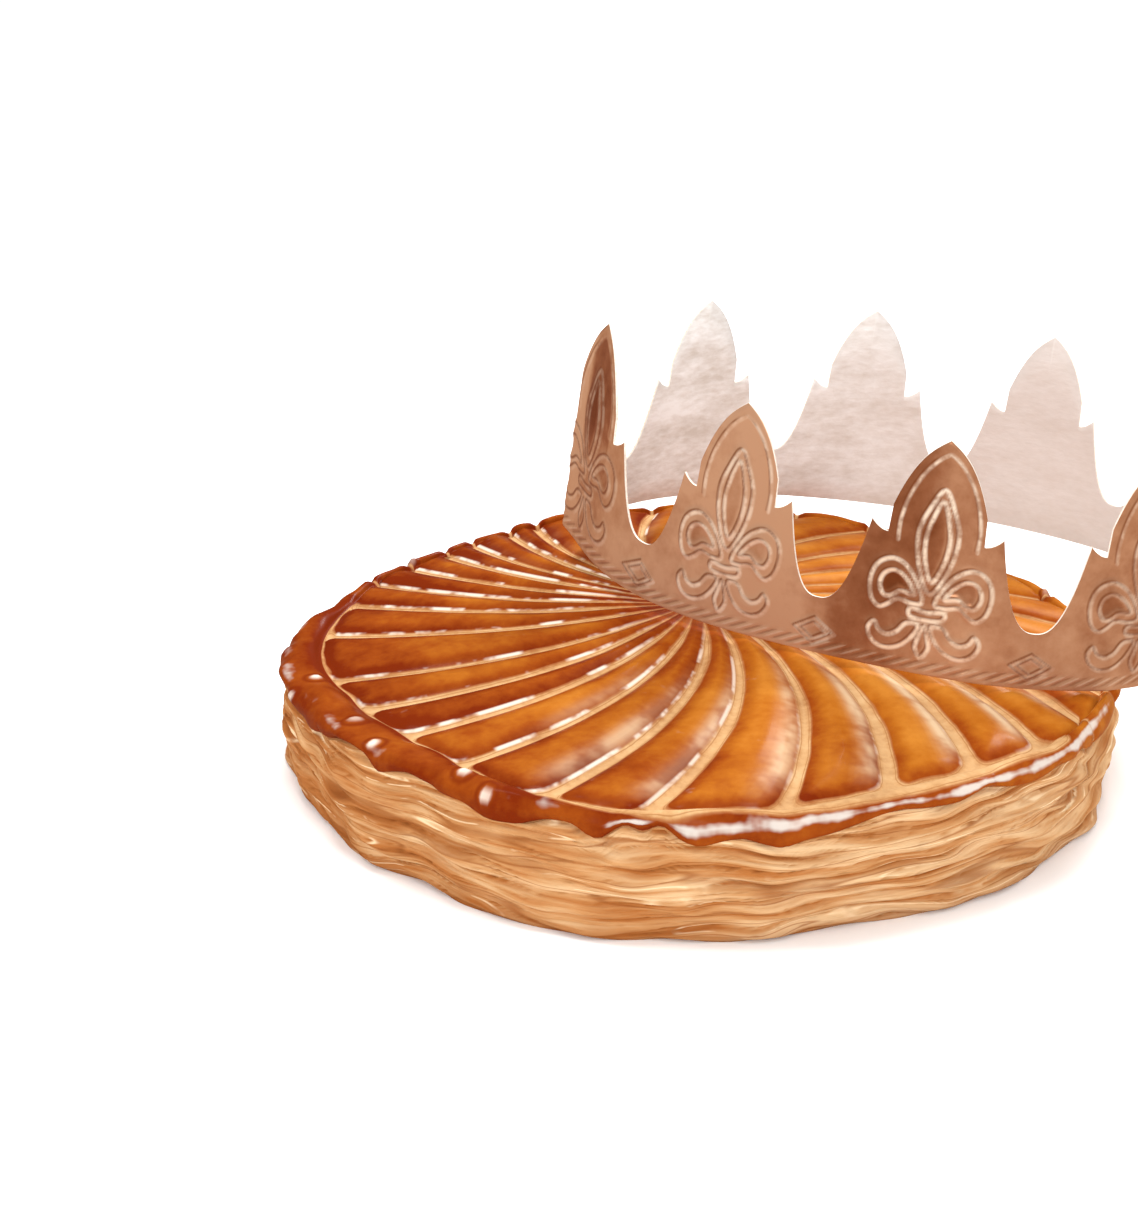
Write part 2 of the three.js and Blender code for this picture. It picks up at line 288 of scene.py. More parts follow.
def turn_from(degrees, angle):
    """How far round an angle is from a place in degrees, from half a turn back to half on."""
    return (angle - math.radians(degrees) + math.pi) % TAU - math.pi


def look_up(table, place):
    """A value from a table, which holds its first and last one beyond its ends."""
    return np.interp(place, list(table), list(table.values()))


def round_table(table, angle, rounding=TABLE_ROUNDING):
    """A value from a table by the angle in degrees, rounded off between its entries."""
    turns = (-rounding, 0, rounding)
    return sum(look_up(table, np.degrees(angle + turn) % 360) for turn in turns) / len(turns)


def band_width(angle):
    return round_table(BAND_WIDTHS, angle, BAND_ROUNDING)


def petal_radius(angle):
    return cake_radius(angle) - band_width(angle) + wave_sum(RING_WAVES, angle)


def ring_score(angle):
    middle, spread = RING_SCORE_WIDEST
    return mix(*RING_SCORE, bell(np.degrees(angle) % 360 - middle, spread))


def ring_shows(angle):
    """Whether a score parts the petals' ends from the band: 0 at the back, 1 elsewhere."""
    return smooth(band_width(angle), *RING_STARTS)


def dome_height(share):
    return mix(DOME_TOP, DOME_EDGE, share ** 2)


# ---- blanks

MERGE_DISTANCE = MM * 1e-3


def start():
    bpy.ops.object.select_all(action="DESELECT")


def edit():
    bpy.ops.object.mode_set(mode="EDIT")
    bpy.ops.mesh.select_all(action="SELECT")


def end_edit():
    bpy.ops.object.mode_set(mode="OBJECT")


def spun_blank(name, profile, steps, closed):
    """A blank turned on the upright axis from a profile of (radius, height) points.
    Every vertex keeps the number of its profile point in the attribute "row"."""
    start()
    bpy.ops.mesh.primitive_plane_add(size=MM, location=(profile[0][0] * MM, 0, profile[0][1] * MM))
    blank = bpy.context.object
    blank.name = name
    bpy.ops.object.transform_apply(location=True, rotation=False, scale=False)
    edit()
    bpy.ops.mesh.merge(type="CENTER")
    for (radius, height), (radius_next, height_next) in zip(profile, profile[1:]):
        step = ((radius_next - radius) * MM, 0, (height_next - height) * MM)
        bpy.ops.mesh.extrude_region_move(TRANSFORM_OT_translate={"value": step})
    if closed:
        end_edit()
        blank.data.vertices[0].select = True
        bpy.ops.object.mode_set(mode="EDIT")
        bpy.ops.mesh.edge_face_add()
    end_edit()
    at = np.array([(vertex.co.x, vertex.co.z) for vertex in blank.data.vertices]) / MM
    away = np.linalg.norm(at[:, None] - np.array(profile, dtype=float)[None], axis=2)
    row = blank.data.attributes.new("row", "INT", "POINT")
    row.data.foreach_set("value", away.argmin(axis=1).astype(np.int32))
    bpy.ops.object.modifier_add(type="SCREW")
    turning = blank.modifiers[-1]
    turning.axis = "Z"
    turning.angle = TAU
    turning.steps = turning.render_steps = steps
    turning.use_merge_vertices = True
    turning.merge_threshold = MERGE_DISTANCE
    bpy.ops.object.modifier_apply(modifier=turning.name)
    edit()
    bpy.ops.mesh.remove_doubles(threshold=MERGE_DISTANCE)
    end_edit()
    return blank


def rows_and_columns(blank, steps):
    """Which profile point and which step of the spin each vertex of a blank came from."""
    count = len(blank.data.vertices)
    at = np.empty(count * 3)
    blank.data.vertices.foreach_get("co", at)
    at = at.reshape(-1, 3)
    row = np.empty(count, dtype=np.int32)
    blank.data.attributes["row"].data.foreach_get("value", row)
    column = np.round(np.arctan2(at[:, 1], at[:, 0]) / TAU * steps).astype(int) % steps
    return row, column


def set_points(piece, x, y, z):
    piece.data.vertices.foreach_set("co", (np.column_stack([x, y, z]) * MM).ravel())
    piece.data.update()


def set_attributes(piece, **layers):
    for name, values in layers.items():
        layer = piece.data.attributes.new(name, "FLOAT", "POINT")
        layer.data.foreach_set("value", np.asarray(values, dtype=np.float32))


def finish_skin(piece):
    """Faces turned outwards and shaded smooth."""
    start()
    piece.select_set(True)
    bpy.context.view_layer.objects.active = piece
    edit()
    bpy.ops.mesh.normals_make_consistent(inside=False)
    end_edit()
    bpy.ops.object.shade_smooth()


# ---- the pastry

COLUMNS_A_PETAL = 20
PASTRY_COLUMNS = COLUMNS_A_PETAL * len(PETAL_SWEEPS)
BASE_SHARES = [0, 0.5, 0.97]
SIDE_ROWS = 82
BAND_STEPS = 24
PETAL_STEPS = 42
FIRST_SIDE_ROW = len(BASE_SHARES)
FIRST_BAND_ROW = FIRST_SIDE_ROW + SIDE_ROWS
FIRST_PETAL_ROW = FIRST_BAND_ROW + BAND_STEPS
PASTRY_ROWS = FIRST_PETAL_ROW + PETAL_STEPS
BLANK_FALL = 5
# Powers that crowd columns together at the scores, and rows at the petals' ends
COLUMN_CROWDING = 1.4
ROW_CROWDING = 1.3


def score_turn(angle):
    return np.radians(SCORE_TURN + wave_sum(SCORE_TURN_WAVES, angle))


def petal_columns():
    """Angle at the rim, petal number and place across the petal of every column."""
    sweeps = np.array(PETAL_SWEEPS) / sum(PETAL_SWEEPS) * TAU
    starts = math.radians(FIRST_SCORE) + np.concatenate([[0], np.cumsum(sweeps)[:-1]])
    half = 0.5 * (np.arange(COLUMNS_A_PETAL // 2 + 1) / (COLUMNS_A_PETAL / 2)) ** COLUMN_CROWDING
    place = np.concatenate([half, 1 - half[-2:0:-1]])
    petal = np.repeat(np.arange(len(sweeps)), COLUMNS_A_PETAL)
    place = np.tile(place, len(sweeps))
    return starts[petal] + place * sweeps[petal], petal, place, sweeps[petal]


def band_lump(place, petal):
    uneven, uneven_pace = LUMP_UNEVEN
    drift, drift_pace = LUMP_DRIFT
    size = LUMP + uneven * np.cos(uneven_pace * petal)
    return size * np.sin(np.pi * place) + drift * np.cos(drift_pace * (petal + place))


def petal_share(row):
    """Share of the way from the pole to the petals' ends, of a row of the dome."""
    return 1 - ((row - FIRST_PETAL_ROW + 1) / PETAL_STEPS) ** ROW_CROWDING


def leaf_relief(x, y, z):
    """How far each leaf of the side stands out, how deep the gap beside it is, and its level."""
    spot = np.column_stack([x, y, 1.6 * z])
    level = z / LEAF_THICKNESS
    for size, amount, seed in LEAF_WANDER:
        level = level + amount * lumps(spot, size, seed)
    out, gap = np.zeros(len(x)), np.zeros(len(x))
    for split, weight, wander, size, seed in LEAF_SETS:
        thin = level * split + wander * lumps(spot, 12, seed + 1)
        leaf = np.floor(thin)
        part = 2 * (thin - leaf) - 1
        layered = np.column_stack([x, y, leaf * 31.7])
        open_here = np.clip(0.45 + 1.3 * lumps(layered, size, seed), 0, 1.2)
        stands_out = LEAF_STANDS_OUT * lumps(layered, size, seed + 7)
        out += weight * (stands_out + LEAF_ROUNDING * (1 - part ** 2))
        gap += weight * np.abs(part) ** 5 * open_here
    return out, np.clip(gap, 0, 1.4), level


def blisters_near(angle, inset, height):
    """Distance to the nearest blister, in its own radii, and the strength of that one's painted glint.
    """
    nearest, glint = np.full(len(angle), FAR), np.zeros(len(angle))
    for degrees, station, size, strength in BLISTERS:
        middle = smooth_line(BAND_ROWS, np.full(1, float(station)))[0]
        narrowed = mix(1, band_width(angle) / RIM_BAND, smooth(station, *NARROWS_OVER))
        across = np.hypot(inset - middle[0] * narrowed, height - middle[1])
        away = np.hypot(turn_from(degrees, angle) * CAKE_RADIUS, across) / size
        glint = np.where(away < nearest, strength, glint)
        nearest = np.minimum(nearest, away)
    return nearest, glint


def build_pastry():
    half_way = (RIM_UNDERSIDE + RIM_CREST) / 2
    outer_rows = SIDE_ROWS + BAND_STEPS
    profile = [(share * BASE_RADIUS, 0) for share in BASE_SHARES]
    profile += [(BASE_RADIUS, half_way * row / outer_rows) for row in range(outer_rows)]
    shares = petal_share(np.arange(FIRST_PETAL_ROW, PASTRY_ROWS)).tolist()
    profile += [(share * (CAKE_RADIUS - RIM_BAND), DOME_TOP - BLANK_FALL * share) for share in shares]
    pastry = spun_blank("glazed_pastry", profile, PASTRY_COLUMNS, closed=False)
    row, column = rows_and_columns(pastry, PASTRY_COLUMNS)
    rim_angle, petal, place, sweep = (values[column] for values in petal_columns())
    to_side = np.minimum(place, 1 - place)
    x, y, z, gap, leaf_level, toward_rim, glare, sheen, blister_glint = np.zeros((9, len(row)))
    glaze, blister = np.full(len(row), BARE), np.full(len(row), FAR)
    glaze_foot = round_table(GLAZE_FOOT, rim_angle)
    foot_out = round_table(FOOT_OUT, rim_angle)

    # The flat base
    base = row < FIRST_SIDE_ROW
    share = np.array(BASE_SHARES)[row[base]]
    x[base], y[base] = polar(share * (base_radius(rim_angle) + foot_out)[base], rim_angle[base])

    # The flaky side
    side = (row >= FIRST_SIDE_ROW) & (row < FIRST_BAND_ROW)
    level = (row[side] - FIRST_SIDE_ROW) / SIDE_ROWS
    angle = rim_angle[side]
    layer = np.interp(level, list(FLAKE_LAYERS), np.arange(len(FLAKE_LAYERS)) - 1.0)
    (sway, *sway_waves), (peel, *peel_waves) = FLAKE_SWAY, FLAKE_PEEL
    swayed, peeled = (
        [np.sin(count * angle + shift * layer) for count, shift in waves]
        for waves in (sway_waves, peel_waves)
    )
    radius = mix(base_radius(angle), cake_radius(angle) - FLAKE_TUCK, level)
    radius = radius + look_up(FLAKE_LAYERS, level) + peel * np.prod(peeled, axis=0)
    radius += foot_out[side] * (1 - level) ** FOOT_FADE
    raised = (glaze_foot[side] - RIM_UNDERSIDE) * smooth(level, LAYERS_RISE_FROM, 1)
    height = level * RIM_UNDERSIDE + sway * sum(swayed) * np.sin(np.pi * level) + raised
    leaf_out, leaf_gap, leaf_level[side] = leaf_relief(*polar(radius, angle), height)
    free = smooth(level, 0, LEAVES_EASE[0]) * smooth(1 - level, 0, LEAVES_EASE[1])
    radius += (leaf_out - LEAF_GAP * leaf_gap) * free
    x[side], y[side] = polar(radius, angle)
    z[side] = height
    gap[side] = leaf_gap * free
    glaze[side] = (level - 1) * RIM_UNDERSIDE

    # The glazed band
    band = (row >= FIRST_BAND_ROW) & (row < FIRST_PETAL_ROW)
    last = len(BAND_ROWS) - 1
    at = (row[band] - FIRST_BAND_ROW) / (BAND_STEPS - 1) * last
    inset, height, lump_out, lump_up = smooth_line(BAND_ROWS, at).T
    angle, foot = rim_angle[band], glaze_foot[band]
    ring = ring_shows(angle)
    inset = inset * mix(1, band_width(angle) / RIM_BAND, smooth(at, *NARROWS_OVER))
    lumpy = mix(LUMPS_AT_BACK, 1, ring)
    lump = band_lump(place[band], petal[band]) * lumpy
    to_score = to_side[band] * sweep[band] * CAKE_RADIUS
    notch_depth, notch_width = RIM_NOTCH
    notch = bell(to_score, notch_width) * (1 - ring) * smooth(at, 0.5, 2)
    swell = smooth(at, 0, 2.5) * smooth(last - at, 0.6, 2.6)
    on_rim = np.column_stack([*polar(CAKE_RADIUS, angle), inset * 1.5])
    bumps = sum(high * lumps(on_rim, size, 6) for size, high in LUMPS_ON_BAND) * lumpy
    low, fall, bulge = GLAZE_BULGE
    bulging = smooth(low - foot, 0, fall) * smooth(3 - at, 0, 3) * smooth(at, 0, 0.8)
    radius = cake_radius(angle) - inset + lump_out * lump + swell * bumps + bulge * bulging
    radius = radius - notch_depth * notch
    blister[band], blister_glint[band] = blisters_near(angle, inset, height)
    raised = BLISTER_HEIGHT * smooth(1 - blister[band], 0, 0.8)
    x[band], y[band] = polar(radius + raised * smooth(4.5 - at, 0, 2), angle)
    stretch = (RIM_CREST - foot) / (RIM_CREST - RIM_UNDERSIDE)
    height = np.where(height < RIM_CREST, RIM_CREST - (RIM_CREST - height) * stretch, height)
    z[band] = height + lump_up * lump * np.minimum(1, stretch) + swell * bumps
    z[band] += ((1 - ring) * 0.7 * smooth(at, 5, 7) - 0.8 * notch_depth * notch
                + raised * smooth(at, 2.5, 4.5))
    # Painted highlight: the glare along the band
    from_glare = at - round_table(GLARE_STATIONS, angle)
    glare[band] = round_table(GLARE, angle) * bell(from_glare, GLARE_SPREAD)
    above, below = GLAZE_A_STATION
    from_ring = (last - at) * below * band_width(angle) / RIM_BAND - BARE_RING
    from_ring = from_ring - round_table(UNGLAZED, angle)
    glaze[band] = np.minimum(at * above, from_ring + 6 * (1 - ring))
    glaze[band] = np.minimum(glaze[band], np.where(at > 1, (to_score - 0.7) + 8 * ring, FAR))

    # The scored dome
    dome = row >= FIRST_PETAL_ROW
    share = petal_share(row[dome])
    turn = score_turn(rim_angle[dome])
    angle = rim_angle[dome] + turn * (1 - share)
    reach = petal_radius(angle)
    slant = 1 / np.sqrt(1 + (share * turn) ** 2)
    arc = sweep[dome] * share * reach * slant
    front, spread = SCORE_FRONT
    at_front = bell(np.degrees(rim_angle[dome]) - front, spread)
    amount, pace = SCORE_UNEVEN
    uneven = 1 + amount * np.cos(pace * petal[dome])
    at_pole, wider, wider_in_front = SCORE_WIDTHS
    widening = at_pole + wider * share + wider_in_front * at_front * share
    half_score = SCORE_WIDTH / 2 * widening * uneven
    half_score = np.minimum(half_score, SCORE_MOST * arc * smooth(share, 0.02, 0.3))
    across = to_side[dome] * arc - half_score
    end = (1 - share) * reach - ring_score(angle) + 8 * (1 - ring_shows(angle))
    corner = np.hypot(np.maximum(PETAL_CORNER - across, 0), np.maximum(PETAL_CORNER - end, 0))
    straight = (across > PETAL_CORNER) | (end > PETAL_CORNER)
    inside = np.where(straight, np.minimum(across, end), PETAL_CORNER - corner)
    flat = np.column_stack([*polar(share * reach, angle), np.zeros(len(share))])
    full = np.minimum(1, arc / FULL_PETAL)
    plump = full * smooth(share, 0.05, 0.5)
    depth = SCORE_DEPTH * np.minimum(1, 0.35 + share) * np.minimum(1, half_score / 1.2)
    sunk = -(depth - SCORE_FILLED * plump) * smooth(-inside, -0.5, 1.6)
    flank = np.exp(-np.maximum(inside, 0) / mix(FLANK_WIDTH_AT_POLE, FLANK_WIDTH, plump))
    puff = full * (PETAL_PUFF - mix(PETAL_PUFF, FLANK_FALL, plump) * flank)
    dimples = sum(deep * lumps(flat, size, seed) for size, deep, seed in DIMPLES)
    x[dome] = flat[:, 0] + POLE[0] * (1 - share)
    y[dome] = flat[:, 1] + POLE[1] * (1 - share)
    z[dome] = dome_height(share) + sunk + puff + dimples * smooth(inside, 0, 4)
    glaze[dome] = inside
    toward_rim[dome], toward_rim[band] = smooth(share, 0.55, 1), 1
    # Painted highlight: where the sheen on the petals is painted
    middle, spread = SHEEN_PLACE
    sheen[dome] = round_table(SHEEN, angle) * bell(place[dome] - middle, spread)
    sheen[dome] *= smooth(share, 0.3, 0.65) * smooth(1 - share, 0.02, 0.12)
    # Painted highlights along the petals' lips
    lit_edge = smooth(place, 0.55, 0.8) * round_table(LIT_LIPS, rim_angle) * dome
    lit_edge[dome] *= smooth(share, 0.12, 0.4)

    set_points(pastry, x, y, z)
    shut_in = np.hypot(x - CROWN_CENTRE[0], y - CROWN_CENTRE[1])
    set_attributes(
        pastry, glaze_mm=glaze, leaf_gap=gap, leaf_level=leaf_level, toward_rim=toward_rim,
        petal_tone=np.cos(3.7 * petal + 1.1) * dome, lit_edge=lit_edge, blister=blister,
        blister_glint=blister_glint, glare=glare, sheen=sheen,
        inside_crown=smooth(CROWN_RADIUS - shut_in, 0, 14) * dome,
        baked_darker=np.cos(rim_angle - math.radians(BAKED_DARKER_AT)),
        side_of_cake=side | base,
    )
    finish_skin(pastry)
    return pastry


# ---- the crown

FACE_ROWS = 86
BACK_ROWS = 8
COLUMNS_A_PEAK = 100
CROWN_COLUMNS = COLUMNS_A_PEAK * len(PEAK_WIDTHS)
EDGE_CHAMFER = 0.15
# Columns over half a peak: of its leaf, its shoulder and its flank
HALF_PEAK_COLUMNS = (23, 9, 20)
BODY_SHARE = 0.7
BODY_HEIGHT = 0.92
# Painted light and shade on the foil round the crown, by the number of the peak
TARNISH = {
    -0.5: 1.1, -0.3: 1.7, -0.13: 1.6, -0.07: 0.5, 0.15: 0.5, 0.35: 0.65, 0.5: 0.65, 0.8: 0.8, 1.2: 1.05,
    1.4: 0.9, 1.56: 0.2, 1.78: 0, 1.93: 0.1, 2.05: 0.4, 2.2: 0.5, 2.6: 0.45, 2.85: 0.4, 3: 0.3,
    3.3: 0.55, 4: 0.5, 5: 0.6, 6: 0.4, 7: 0.55, 8: 0.5, 8.5: 0.35,
}
# How much brighter the foil is low down: (amount, height below which, fall over which)
LOW_BRIGHTER = (0.2, 22, 14)
# How much painted shade darkens the inside of the lily's shaded shapes
HOLLOW_DARKER = 0.4
# How much darker the first peak is inside its border, and the heights over which that sets in
FIELD_DARKER = 0.6
FIELD_HEIGHTS = (26, 48)
# How strong the embossing's painted glints are round the crown, by the number of the peak
GLINTS = {
    -0.5: 0.15, 0.5: 0.3, 0.8: 0.8, 1.2: 0.6, 1.5: 0.3, 1.68: 1, 2.05: 1, 2.25: 0.8, 2.5: 0.25,
    2.8: 0.4, 3.5: 0.2, 5: 0.5, 7: 0.3, 8.5: 0.1,
}
# How far aside and up the embossing's painted highlight lines lie from its dark ones
LIT_SIDE = (0.75, -0.6)
# How much painted shade greys the back of the card round the crown, by the number of the peak
CARD_GREY = {-0.5: 0, 3: 0.5, 5.6: 0.8, 6.4: 0.7, 7: 0.35, 8: 0}
PITCH = 65
# Unevenness of the card: (amount, size), and the heights over which it sets in
BUCKLE = (0.5, 34)
BUCKLE_HEIGHTS = (0, 20)
# How far in from the card's upper and lower edges the embossing sets in
UPPER_MARGIN = (0.2, 1.6)
LOWER_MARGIN = (0, 0.5)


def mirrored(half):
    """A closed outline from its right half, whose first and last points lie on the middle."""
    return half + [(-x, y) for x, y in half[-2:0:-1]]


# The embossed lily, in millimetres from the middle of a peak and above the lower edge: (points
# that a smooth outline joins, whether it is one of a pair, height of its ridge, swelling inside,
# whether its inside gets painted shade)
LILY = {
    "petal": (mirrored([(0, 57), (3.6, 51), (5.9, 43.5), (4.6, 34), (0, 25.3)]),
              False, 0.3, 0.3, False),
    "inner petal": (mirrored([(0, 53.6), (2.2, 48.5), (3.5, 42), (2.7, 35), (0, 29)]),
                    False, 0.25, 0.2, True),
    "leaf": ([
        (1.8, 22.6), (4, 28.2), (7.6, 32.6), (12, 34.4), (16.2, 32.2), (17.9, 27.4), (17, 21.8),
        (14.4, 19.2), (11.8, 20.3), (9, 22.5), (5, 21.8),
    ], True, 0.3, 0.3, False),
    "inner leaf": ([
        (4.4, 24.6), (7.2, 28.8), (10.8, 30.9), (13.9, 29.5), (14.9, 26.2), (13.5, 23.2),
        (11.2, 23.1), (8.4, 25),
    ], True, 0.2, -0.3, True),
    "collar": ([(-4.8, 20.4), (0, 19.8), (4.8, 20.4), (4.8, 18), (0, 17.4), (-4.8, 18)],
               False, 0.25, 0.3, True),
    "foot": ([
        (1.8, 15.4), (3.8, 11), (7, 8), (11.2, 7), (14.8, 8.6), (16.4, 12), (14.8, 14.4),
        (13.2, 12.2), (10.6, 11.2), (7.8, 12.6), (5.4, 15.6),
    ], True, 0.3, 0.35, False),
    "drop": (mirrored([(0, 15.4), (1.4, 11.5), (1.9, 8.6), (0, 5.6)]), False, 0.25, 0.3, True),
}
BORDER = [(11.6, 40), (11.7, 46), (10.2, 53.5), (7.0, 60.5), (3.0, 65.5), (0, 67.6)]
DIAMOND_MIDDLE = (PITCH / 2, 7.1)
DIAMOND = [(PITCH / 2 + x, y) for x, y in ((-6.4, 7.2), (0, 11.2), (6.4, 7.2), (0, 3))]
DIAMOND_SIZES = (1.0, 0.6)
# Widths of the ridges along the lily, the border and the diamonds, and the last two's heights
LILY_RIDGE = 0.8
BORDER_RIDGE = (0.6, 0.25)
DIAMOND_RIDGE = (0.55, 0.2)
# The rope along the lower edge: length of a strand, its slant, its height, where it ends
ROPE = (5.0, 1.9, 0.2, 5.0)


def curve_through(points, closed, steps=5):
    """A smooth line through the points, in that many steps from each to the next."""
    spans = len(points) if closed else len(points) - 1
    return smooth_line(points, np.arange(spans * steps + (not closed)) / steps, closed)


def distance_to(line, closed, x, h):
    """Distance from every point (x, h) to a line, and whether the point is inside it."""
    nearest = np.full(len(x), 1e9)
    inside = np.zeros(len(x), dtype=bool)
    ends = np.roll(line, -1, axis=0) if closed else line[1:]
    for (ax, ay), (bx, by) in zip(line, ends):
        ex, ey = bx - ax, by - ay
        part = np.clip(((x - ax) * ex + (h - ay) * ey) / (ex * ex + ey * ey + 1e-12), 0, 1)
        nearest = np.minimum(nearest, np.hypot(x - ax - part * ex, h - ay - part * ey))
        if closed and ay != by:
            crosses = (ay > h) != (by > h)
            inside ^= crosses & (x < ex * (h - ay) / ey + ax)
    return nearest, inside


def emboss(x, h):
    """The embossing: how far the card is raised, the distance to the nearest outline, the strands
    of the rope along the lower edge, from -1 to 1, how deep inside a shape with painted shade a
    point is, and how deep inside the border."""
    relief, hollow = np.zeros((2, len(x)))
    outline, right = np.full(len(x), FAR), np.abs(x)
    for points, paired, high, swelling, shaded in LILY.values():
        line = curve_through(points, True)
        nearest, inside = distance_to(line, True, right if paired else x, h)
        relief = relief + high * bell(nearest, LILY_RIDGE)
        relief = relief + swelling * smooth(nearest, 0, 2.2) * inside
        outline = np.minimum(outline, nearest)
        if shaded:
            hollow = np.maximum(hollow, inside * smooth(nearest, 0.2, 2.0))
    border = curve_through(BORDER, False)
    nearest, _ = distance_to(border, False, right, h)
    _, field = distance_to(np.vstack([border, [(0, 0), (BORDER[0][0], 0)]]), True, right, h)
    field = field * smooth(nearest, 0.4, 1.4)
    width, high = BORDER_RIDGE
    relief += high * bell(nearest, width)
    outline = np.minimum(outline, nearest + 0.15)
    width, high = DIAMOND_RIDGE
    for size in DIAMOND_SIZES:
        corners = DIAMOND_MIDDLE + (np.array(DIAMOND) - DIAMOND_MIDDLE) * size
        nearest, _ = distance_to(corners, True, right, h)
        relief += high * bell(nearest, width)
        outline = np.minimum(outline, nearest + 0.1)
    strand, slant, high, end = ROPE
    rope = np.cos((x - slant * h) / strand * TAU) * smooth(end - h, 0, 1.0) * smooth(h, 0.6, 1.8)
    relief += high * rope
    return relief, outline, rope, hollow, field


def card_height(share, extra):
    away = np.abs(share)
    out = np.clip(away / LEAF_EDGE, 0, 1)
    leaf = mix(PEAK_HEIGHT + extra, LEAF_HEIGHT, mix(out ** 3, out, LEAF_POINT))
    out = np.clip((away - LEAF_FOOT) / (HORN_TIP - LEAF_FOOT), 0, 1)
    shoulder = mix(SHOULDER_HEIGHT, HORN_HEIGHT, out ** 2)
    fall = np.clip((NOTCH - away) / (NOTCH - HORN_TIP), 0, 1)
    flank = mix(NOTCH_HEIGHT, HORN_HEIGHT, fall ** FLANK_HOLLOW)
    tiny = 1e-6
    below_leaf = np.where(away <= HORN_TIP + tiny, shoulder, flank)
    return np.where(away <= LEAF_EDGE + tiny, leaf, below_leaf)


def up_the_card(share, height):
    """Height of a row of the card: level up to the shoulders, then stretched to the outline."""
    body = np.minimum(height, SHOULDER_HEIGHT) * BODY_HEIGHT
    low = np.minimum(share, BODY_SHARE) / BODY_SHARE
    high = np.maximum(share - BODY_SHARE, 0) / (1 - BODY_SHARE)
    return body * low + (height - body) * high


def crown_radius(angle):
    off = turn_from(CREASE_AT, angle)
    fade = np.hypot(off / math.radians(CREASE_SPREAD), math.sqrt(CREASE_ROUNDING))
    return CROWN_RADIUS + wave_sum(CROWN_WAVES, angle) + CREASE_SIZE * np.exp(-fade)


def crown_columns():
    """Angle round the crown, place across its peak and extra height of every column."""
    walk = np.linspace(0, TAU, 1441)
    wx, wy = polar(crown_radius(walk), walk)
    lengths = np.concatenate([[0], np.cumsum(np.hypot(np.diff(wx), np.diff(wy)))])
    leaf, shoulder, flank = HALF_PEAK_COLUMNS
    half = np.concatenate([
        np.linspace(0, LEAF_EDGE, leaf), np.linspace(LEAF_FOOT, HORN_TIP, shoulder),
        np.linspace(HORN_TIP, NOTCH, flank)[1:],
    ])
    places = np.concatenate([-half[-2::-1], half[1:]])
    spans = np.array(PEAK_WIDTHS) / sum(PEAK_WIDTHS)
    middles = FIRST_PEAK + np.cumsum(spans) - spans[0] / 2 - spans / 2
    turns = (middles[:, None] + places * spans[:, None]).ravel()
    angle = np.interp((turns % 1) * lengths[-1], lengths, walk)
    extra = np.repeat([FIRST_PEAK_EXTRA] + [0] * (len(PEAK_WIDTHS) - 1), len(places))
    return angle, np.tile(places, len(PEAK_WIDTHS)), extra


def crown_seat():
    """Turns and moves points of the crown's own frame to where it lies on the pastry."""
    hinge = math.radians(CROWN_FALL_TOWARDS)
    tip = math.radians(CROWN_FALL)
    k = np.array([-math.sin(hinge), math.cos(hinge), 0])
    cross = np.array([[0, -k[2], k[1]], [k[2], 0, -k[0]], [-k[1], k[0], 0]])
    turn = np.eye(3) + math.sin(tip) * cross + (1 - math.cos(tip)) * cross @ cross
    return lambda points: points @ turn.T + np.array([*CROWN_CENTRE, CROWN_SEAT])


def lower_edge(foot, angle, seat):
    """How far above the crown's own plane its lower edge runs."""
    bow = wave_sum(CROWN_BOW, angle)
    world = seat(foot)
    share = np.ones(len(angle))
    for _ in range(6):
        sx, sy = world[:, :2].T + np.outer(POLE, share - 1)
        share = np.minimum(1.5, np.hypot(sx, sy) / petal_radius(np.arctan2(sy, sx)))
    clear = dome_height(np.minimum(share, 1)) + PETAL_PUFF + CARD_GAP - world[:, 2]
    return np.where(share > OFF_THE_RIM, bow, np.maximum(bow, clear))


